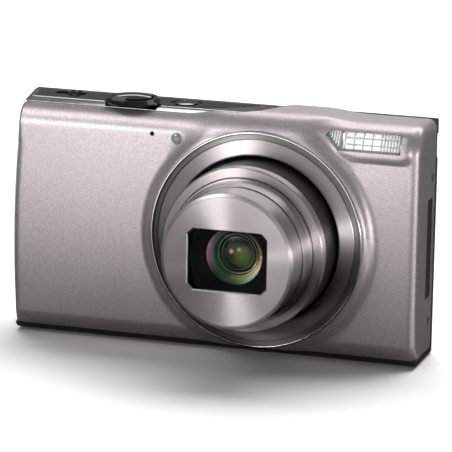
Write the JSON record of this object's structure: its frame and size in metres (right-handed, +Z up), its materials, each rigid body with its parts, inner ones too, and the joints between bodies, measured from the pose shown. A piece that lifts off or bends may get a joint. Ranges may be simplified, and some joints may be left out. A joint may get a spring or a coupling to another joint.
{
  "type": "compact digital camera",
  "caption": "Pocket digital camera: slim metal-skinned body with a three-stage retracting zoom lens, flash, zoom lever around the shutter button, screen and keys on the back.",
  "frame": {"origin": "mouth of the tripod socket on the flat base, straight below the lens axis", "axes": "+X along the body towards the flash end, -Y the way the lens looks, +Z up from the base"},
  "size_m": [0.1033, 0.045, 0.0603],
  "materials": {
    "champagne_paint": "fine metallic paint, satin",
    "black_paint": "satin black paint",
    "polished_silver": "polished",
    "gloss_black": "piano black",
    "spun_silver": "spun, fine turning lines",
    "dark_barrel": "satin graphite",
    "clear_plastic": "clear prismatic",
    "lens_glass": "coated optical glass",
    "reflector": "bright",
    "steel": "plain",
    "matte_black": "matte",
    "dark_plastic": "satin",
    "grey_plastic": "satin",
    "button_grey": "satin",
    "screen_glass": "glossy",
    "board": "solder resist",
    "capacitor_sleeve": "shrink sleeve",
    "battery_wrap": "matt label film",
    "card_blue": "matt",
    "gold_contact": "plated",
    "brass": "turned",
    "latch_orange": "moulded",
    "side_rubber": "matt"
  },
  "bodies": {
    "camera_body": {"front_cover": "champagne_paint", "rear_cover": "black_paint", "top_cover": "polished_silver", "top_inset": "gloss_black", "bottom_cover": "black_paint", "lens_bezel": "polished_silver", "lens_ring": "spun_silver", "flash_window": "clear_plastic", "flash_reflector": "reflector", "flash_tube": "clear_plastic", "af_lamp_window": "clear_plastic", "microphone": "grey_plastic", "speaker": "dark_plastic", "strap_lug": "steel", "tripod_socket": "steel", "case_screws": "steel", "lcd_window": "screen_glass", "lcd_panel": "dark_plastic", "chassis": "dark_plastic", "main_board": "board", "control_board": "board", "flash_capacitor": "capacitor_sleeve", "battery": "battery_wrap", "card_slot": "gold_contact", "lens_mount": "dark_plastic", "fixed_barrel": "matte_black", "image_sensor": "grey_plastic", "zoom_motor": "steel", "terminal_sockets": "steel"},
    "cam_ring": {"cam_ring": "dark_barrel"},
    "zoom_pinion": {"zoom_pinion": "brass"},
    "outer_barrel": {"barrel_outer": "dark_barrel", "barrel_outer_trim": "spun_silver"},
    "middle_barrel": {"barrel_middle": "spun_silver"},
    "front_barrel": {"barrel_front": "spun_silver", "front_plate": "spun_silver", "lens_hood": "matte_black", "front_lens": "lens_glass"},
    "blade_upper_inner": {"blade_upper_inner": "black_paint"},
    "blade_upper_outer": {"blade_upper_outer": "black_paint"},
    "blade_lower_inner": {"blade_lower_inner": "black_paint"},
    "blade_lower_outer": {"blade_lower_outer": "black_paint"},
    "shutter_group": {"shutter_unit": "matte_black", "zoom_lens": "lens_glass"},
    "focus_group": {"focus_lens": "lens_glass"},
    "zoom_lever": {"zoom_lever": "gloss_black"},
    "shutter_button": {"shutter_button": "gloss_black"},
    "power_button": {"power_button": "gloss_black"},
    "mode_switch": {"mode_switch": "dark_plastic"},
    "movie_button": {"movie_button": "button_grey"},
    "playback_button": {"playback_button": "button_grey"},
    "menu_button": {"menu_button": "button_grey"},
    "set_button": {"set_button": "button_grey"},
    "rocker_pivot": {"rocker_pivot": "steel"},
    "rocker_ring": {"rocker_ring": "button_grey"},
    "door_slide": {"door_hinge_pin": "steel"},
    "battery_door": {"battery_door": "black_paint"},
    "battery_latch": {"battery_latch": "latch_orange"},
    "memory_card": {"memory_card": "card_blue"},
    "terminal_cover": {"terminal_cover": "side_rubber"}
  },
  "joints": [
    {"name": "lens_drive", "type": "hinge", "parent": "camera_body", "child": "cam_ring", "pos_m": [0, 0, 0.029], "axis": [0, -1, 0], "range_deg": [-110, 35]},
    {"name": "pinion_spin", "type": "hinge", "parent": "camera_body", "child": "zoom_pinion", "pos_m": [-0.0203, 0, 0.04603], "axis": [0, -1, 0], "range_deg": [-235, 725]},
    {"name": "outer_barrel_slide", "type": "slide", "parent": "camera_body", "child": "outer_barrel", "axis": [0, -1, 0], "range_m": [-0.0096, 0.00306]},
    {"name": "middle_barrel_slide", "type": "slide", "parent": "camera_body", "child": "middle_barrel", "axis": [0, -1, 0], "range_m": [-0.01421, 0.00452]},
    {"name": "front_barrel_slide", "type": "slide", "parent": "camera_body", "child": "front_barrel", "axis": [0, -1, 0], "range_m": [-0.0216, 0.00687]},
    {"name": "shutter_group_slide", "type": "slide", "parent": "camera_body", "child": "shutter_group", "axis": [0, -1, 0], "range_m": [-0.012, 0.00382]},
    {"name": "focus_slide", "type": "slide", "parent": "camera_body", "child": "focus_group", "axis": [0, -1, 0], "range_m": [-0.0004, 0.0005]},
    {"name": "barrier_close", "type": "slide", "parent": "front_barrel", "child": "blade_upper_inner", "axis": [0, 0, -1], "range_m": [0, 0.00755]},
    {"name": "blade_upper_outer_slide", "type": "slide", "parent": "front_barrel", "child": "blade_upper_outer", "axis": [0, 0, -1], "range_m": [0, 0.00378]},
    {"name": "blade_lower_inner_slide", "type": "slide", "parent": "front_barrel", "child": "blade_lower_inner", "axis": [0, 0, 1], "range_m": [0, 0.00755]},
    {"name": "blade_lower_outer_slide", "type": "slide", "parent": "front_barrel", "child": "blade_lower_outer", "axis": [0, 0, 1], "range_m": [0, 0.00378]},
    {"name": "zoom_lever_turn", "type": "hinge", "parent": "camera_body", "child": "zoom_lever", "pos_m": [-0.0342, -0.0032, 0.058], "axis": [0, 0, 1], "range_deg": [-20, 20], "stiffness_Nm_per_rad": 0.01},
    {"name": "shutter_button_press", "type": "slide", "parent": "camera_body", "child": "shutter_button", "axis": [0, 0, -1], "range_m": [0, 0.0011], "stiffness_N_per_m": 400},
    {"name": "power_button_press", "type": "slide", "parent": "camera_body", "child": "power_button", "axis": [0, 0, -1], "range_m": [0, 0.0004], "stiffness_N_per_m": 800},
    {"name": "mode_switch_slide", "type": "slide", "parent": "camera_body", "child": "mode_switch", "axis": [1, 0, 0], "range_m": [-0.0029, 0]},
    {"name": "movie_button_press", "type": "slide", "parent": "camera_body", "child": "movie_button", "axis": [0, -1, 0], "range_m": [0, 0.0003], "stiffness_N_per_m": 800},
    {"name": "playback_button_press", "type": "slide", "parent": "camera_body", "child": "playback_button", "axis": [0, -1, 0], "range_m": [0, 0.0003], "stiffness_N_per_m": 800},
    {"name": "menu_button_press", "type": "slide", "parent": "camera_body", "child": "menu_button", "axis": [0, -1, 0], "range_m": [0, 0.0003], "stiffness_N_per_m": 800},
    {"name": "set_button_press", "type": "slide", "parent": "camera_body", "child": "set_button", "axis": [0, -1, 0], "range_m": [0, 0.0003], "stiffness_N_per_m": 800},
    {"name": "rocker_left_right", "type": "hinge", "parent": "camera_body", "child": "rocker_pivot", "pos_m": [-0.0474, 0.0079, 0.024], "axis": [0, 0, 1], "range_deg": [-2.5, 2.5], "stiffness_Nm_per_rad": 0.05},
    {"name": "rocker_up_down", "type": "hinge", "parent": "rocker_pivot", "child": "rocker_ring", "pos_m": [-0.0474, 0.0079, 0.024], "axis": [1, 0, 0], "range_deg": [-2.5, 2.5], "stiffness_Nm_per_rad": 0.05},
    {"name": "battery_door_slide", "type": "slide", "parent": "camera_body", "child": "door_slide", "axis": [-1, 0, 0], "range_m": [0, 0.002]},
    {"name": "battery_door_hinge", "type": "hinge", "parent": "door_slide", "child": "battery_door", "pos_m": [-0.0256, 0, 0.0006], "axis": [0, -1, 0], "range_deg": [0, 88]},
    {"name": "battery_latch_slide", "type": "slide", "parent": "camera_body", "child": "battery_latch", "axis": [0, 1, 0], "range_m": [0, 0.0008], "stiffness_N_per_m": 300},
    {"name": "memory_card_push", "type": "slide", "parent": "camera_body", "child": "memory_card", "axis": [0, 0, 1], "range_m": [0, 0.0008], "stiffness_N_per_m": 300},
    {"name": "terminal_cover_hinge", "type": "hinge", "parent": "camera_body", "child": "terminal_cover", "pos_m": [0.03835, 0.00315, 0.0275], "axis": [0, 0, 1], "range_deg": [0, 100]}
  ],
  "couplings": [
    {"joint": "pinion_spin", "follows": "lens_drive", "ratio": -6.5714},
    {"joint": "outer_barrel_slide", "follows": "lens_drive", "m_per_rad": 0.005},
    {"joint": "middle_barrel_slide", "follows": "lens_drive", "m_per_rad": 0.0074},
    {"joint": "front_barrel_slide", "follows": "lens_drive", "m_per_rad": 0.01125},
    {"joint": "shutter_group_slide", "follows": "lens_drive", "m_per_rad": 0.00625},
    {"joint": "blade_upper_outer_slide", "follows": "barrier_close", "ratio": 0.5},
    {"joint": "blade_lower_inner_slide", "follows": "barrier_close", "ratio": 1},
    {"joint": "blade_lower_outer_slide", "follows": "barrier_close", "ratio": 0.5}
  ]
}
